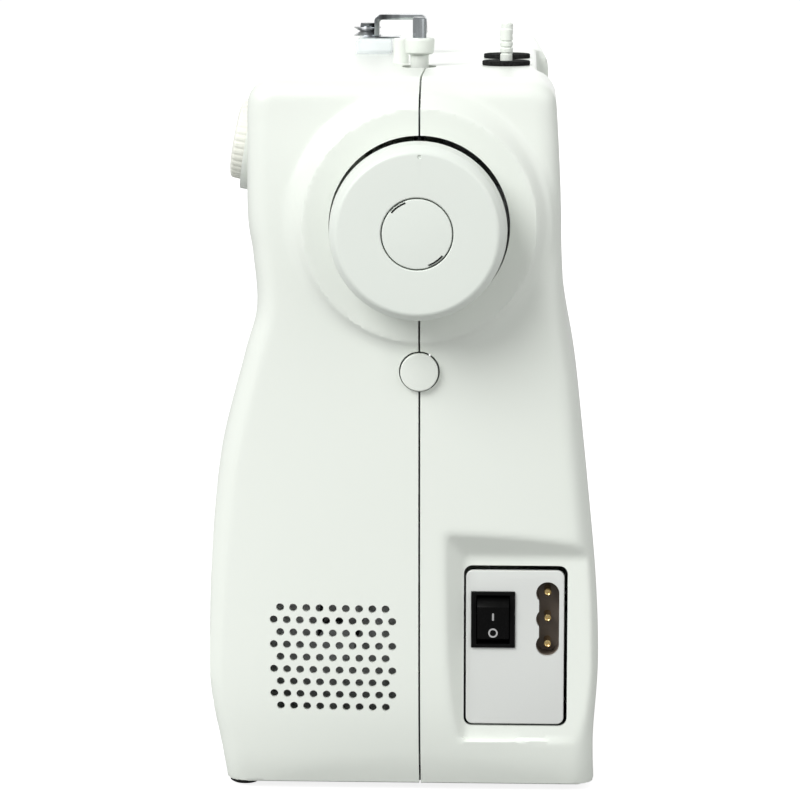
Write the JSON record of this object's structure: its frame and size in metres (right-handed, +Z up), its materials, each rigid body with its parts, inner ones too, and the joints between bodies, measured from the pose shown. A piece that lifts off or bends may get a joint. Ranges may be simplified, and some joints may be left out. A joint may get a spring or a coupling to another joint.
{
  "type": "sewing machine",
  "caption": "White free-arm domestic sewing machine with hand wheel, pattern dial, retractable spool pins, bobbin winder, rocker switch, pin inlet and slide-off extension table.",
  "frame": {"origin": "centre of the overall box on the surface the machine stands on", "axes": "+X towards the hand wheel, +Y away from the operator, +Z up"},
  "size_m": [0.4, 0.169, 0.3272],
  "materials": {
    "shell": "satin moulded white",
    "wheel": "satin moulded white",
    "ivory": "satin",
    "black_plastic": "satin",
    "grey_plastic": "fine grain",
    "rubber": "matt",
    "felt": "pressed felt",
    "casting": "die cast",
    "steel": "ground",
    "chrome": "polished",
    "bronze": "sintered",
    "clear": "clear plastic",
    "panel": "silver paint",
    "socket": "moulded"
  },
  "bodies": {
    "machine": {"front_cover": "shell", "rear_cover": "shell", "face_cover": "shell", "bed_cover": "shell", "base_pan": "grey_plastic", "feet": "rubber", "arm_frame": "casting", "bed_frame": "casting", "screws": "steel", "screw_cap": "shell", "bearings": "bronze", "pivot_pins": "steel", "needle_plate": "steel", "motor": "casting", "belts": "rubber", "inlet_panel": "panel", "inlet_socket": "socket", "switch_body": "black_plastic", "lamp": "clear", "thread_guide": "chrome", "winder_stopper": "shell", "spool_felts": "felt", "tension_discs": "chrome", "bobbin_case": "black_plastic", "presser_spring": "steel"},
    "main_shaft": {"arm_shaft": "steel", "shaft_fittings": "casting"},
    "handwheel": {"handwheel": "wheel", "handwheel_cap": "wheel"},
    "motor_rotor": {"motor_pulley": "steel"},
    "lower_shaft": {"lower_shaft": "steel"},
    "hook": {"rotary_hook": "chrome"},
    "bobbin": {"bobbin": "clear"},
    "cams": {"stitch_cams": "ivory"},
    "zigzag": {"zigzag_rod": "steel"},
    "cradle": {"cradle": "casting"},
    "needle_bar": {"needle_bar": "chrome", "needle_bar_link": "steel", "needle_clamp": "steel", "needle": "chrome"},
    "take_up": {"take_up_lever": "chrome"},
    "presser": {"presser_bar": "chrome", "foot_holder": "chrome"},
    "presser_lever": {"presser_lever": "shell"},
    "foot": {"presser_foot": "chrome"},
    "feed": {"feed_dog": "steel"},
    "pattern_dial": {"pattern_dial": "ivory"},
    "length_dial": {"length_dial": "wheel"},
    "tension_dial": {"tension_dial": "wheel"},
    "reverse_lever": {"reverse_lever": "wheel"},
    "spool_pin_right": {"spool_pin_right": "shell"},
    "spool_pin_left": {"spool_pin_left": "shell"},
    "winder_arm": {"winder_arm": "steel"},
    "winder_spindle": {"winder_spindle": "chrome", "winder_flange": "shell"},
    "switch_rocker": {"switch_rocker": "black_plastic"},
    "extension_table": {"extension_table": "shell"},
    "accessory_lid": {"accessory_lid": "shell"},
    "hook_cover": {"hook_cover": "clear"},
    "carrying_handle": {"carrying_handle": "shell"}
  },
  "joints": [
    {"name": "main_shaft_spin", "type": "hinge", "parent": "machine", "child": "main_shaft", "pos_m": [0, 0.0086, 0.2456], "axis": [1, 0, 0], "continuous": true},
    {"name": "handwheel_clutch", "type": "slide", "parent": "main_shaft", "child": "handwheel", "axis": [1, 0, 0], "range_m": [0, 0.004]},
    {"name": "motor_spin", "type": "hinge", "parent": "machine", "child": "motor_rotor", "pos_m": [0.1, -0.028, 0.062], "axis": [1, 0, 0], "continuous": true},
    {"name": "lower_shaft_spin", "type": "hinge", "parent": "machine", "child": "lower_shaft", "pos_m": [0, -0.0094, 0.052], "axis": [1, 0, 0], "continuous": true},
    {"name": "hook_spin", "type": "hinge", "parent": "machine", "child": "hook", "pos_m": [-0.15, -0.0094, 0.08], "axis": [0, 0, 1], "continuous": true},
    {"name": "bobbin_spin", "type": "hinge", "parent": "machine", "child": "bobbin", "pos_m": [-0.15, -0.0094, 0.083], "axis": [0, 0, 1], "continuous": true},
    {"name": "cam_spin", "type": "hinge", "parent": "machine", "child": "cams", "pos_m": [-0.02, 0, 0.2716], "axis": [0, 1, 0], "continuous": true},
    {"name": "zigzag_slide", "type": "slide", "parent": "machine", "child": "zigzag", "axis": [1, 0, 0], "range_m": [-0.00017, 0.00017]},
    {"name": "cradle_swing", "type": "hinge", "parent": "machine", "child": "cradle", "pos_m": [-0.15, 0.0086, 0.286], "axis": [0, 1, 0], "range_deg": [-0.85, 0.85]},
    {"name": "needle_bar_slide", "type": "slide", "parent": "cradle", "child": "needle_bar", "axis": [0, 0, -1], "range_m": [0, 0.032]},
    {"name": "take_up_swing", "type": "hinge", "parent": "machine", "child": "take_up", "pos_m": [-0.115, -0.008, 0.268], "axis": [1, 0, 0], "range_deg": [0, 45]},
    {"name": "presser_slide", "type": "slide", "parent": "machine", "child": "presser", "axis": [0, 0, -1], "range_m": [0, 0.005], "deforming": ["presser_spring"]},
    {"name": "presser_lever_swing", "type": "hinge", "parent": "machine", "child": "presser_lever", "pos_m": [-0.1395, 0.038, 0.206], "axis": [-1, 0, 0], "range_deg": [0, 50]},
    {"name": "foot_tilt", "type": "hinge", "parent": "presser", "child": "foot", "pos_m": [-0.15, 0.0195, 0.116], "axis": [1, 0, 0], "range_deg": [-2, 2]},
    {"name": "feed_slide", "type": "slide", "parent": "machine", "child": "feed", "axis": [0, 1, 0], "range_m": [-0.002, 0.003]},
    {"name": "pattern_dial_turn", "type": "hinge", "parent": "machine", "child": "pattern_dial", "pos_m": [0.125, -0.0623, 0.2768], "axis": [0, -0.9839, 0.1788], "continuous": true},
    {"name": "length_dial_turn", "type": "hinge", "parent": "machine", "child": "length_dial", "pos_m": [0.062, -0.064, 0.236], "axis": [0, -1, 0], "range_deg": [-130, 130]},
    {"name": "tension_dial_turn", "type": "hinge", "parent": "machine", "child": "tension_dial", "pos_m": [-0.15, -0.064, 0.262], "axis": [0, -1, 0], "range_deg": [-150, 150]},
    {"name": "reverse_lever_press", "type": "hinge", "parent": "machine", "child": "reverse_lever", "pos_m": [0.095, -0.048, 0.15], "axis": [1, 0, 0], "range_deg": [0, 10], "stiffness_Nm_per_rad": 0.1, "springref_deg": -11.46},
    {"name": "spool_pin_right_pull", "type": "slide", "parent": "machine", "child": "spool_pin_right", "axis": [0, 0, 1], "range_m": [0, 0.035]},
    {"name": "spool_pin_left_pull", "type": "slide", "parent": "machine", "child": "spool_pin_left", "axis": [0, 0, 1], "range_m": [0, 0.035]},
    {"name": "winder_arm_shift", "type": "hinge", "parent": "machine", "child": "winder_arm", "pos_m": [0.08, -0.022, 0.29], "axis": [0, 0, -1], "range_deg": [0, 15]},
    {"name": "winder_spin", "type": "hinge", "parent": "winder_arm", "child": "winder_spindle", "pos_m": [0.08, 0.0056, 0.3], "axis": [0, 0, 1], "continuous": true},
    {"name": "switch_rock", "type": "hinge", "parent": "machine", "child": "switch_rocker", "pos_m": [0.156, 0.0397, 0.0772], "axis": [0, -1, 0], "range_deg": [0, 16]},
    {"name": "table_slide", "type": "slide", "parent": "machine", "child": "extension_table", "axis": [-1, 0, 0], "range_m": [0, 0.2]},
    {"name": "accessory_lid_swing", "type": "hinge", "parent": "extension_table", "child": "accessory_lid", "pos_m": [-0.08, -0.0822, 0.016], "axis": [1, 0, 0], "range_deg": [0, 88]},
    {"name": "hook_cover_lift", "type": "slide", "parent": "machine", "child": "hook_cover", "axis": [0, 0, 1], "range_m": [0, 0.006]},
    {"name": "handle_swing", "type": "hinge", "parent": "machine", "child": "carrying_handle", "pos_m": [0.02, 0.0618, 0.282], "axis": [1, 0, 0], "range_deg": [0, 172]}
  ],
  "couplings": [
    {"joint": "motor_spin", "follows": "main_shaft_spin", "ratio": 4.5},
    {"joint": "lower_shaft_spin", "follows": "main_shaft_spin", "ratio": 1},
    {"joint": "hook_spin", "follows": "main_shaft_spin", "ratio": -2},
    {"joint": "cam_spin", "follows": "main_shaft_spin", "ratio": 0.05},
    {"joint": "cradle_swing", "follows": "zigzag_slide", "rad_per_m": -83.3},
    {"joint": "presser_lever_swing", "follows": "presser_slide", "rad_per_m": 174.53}
  ]
}
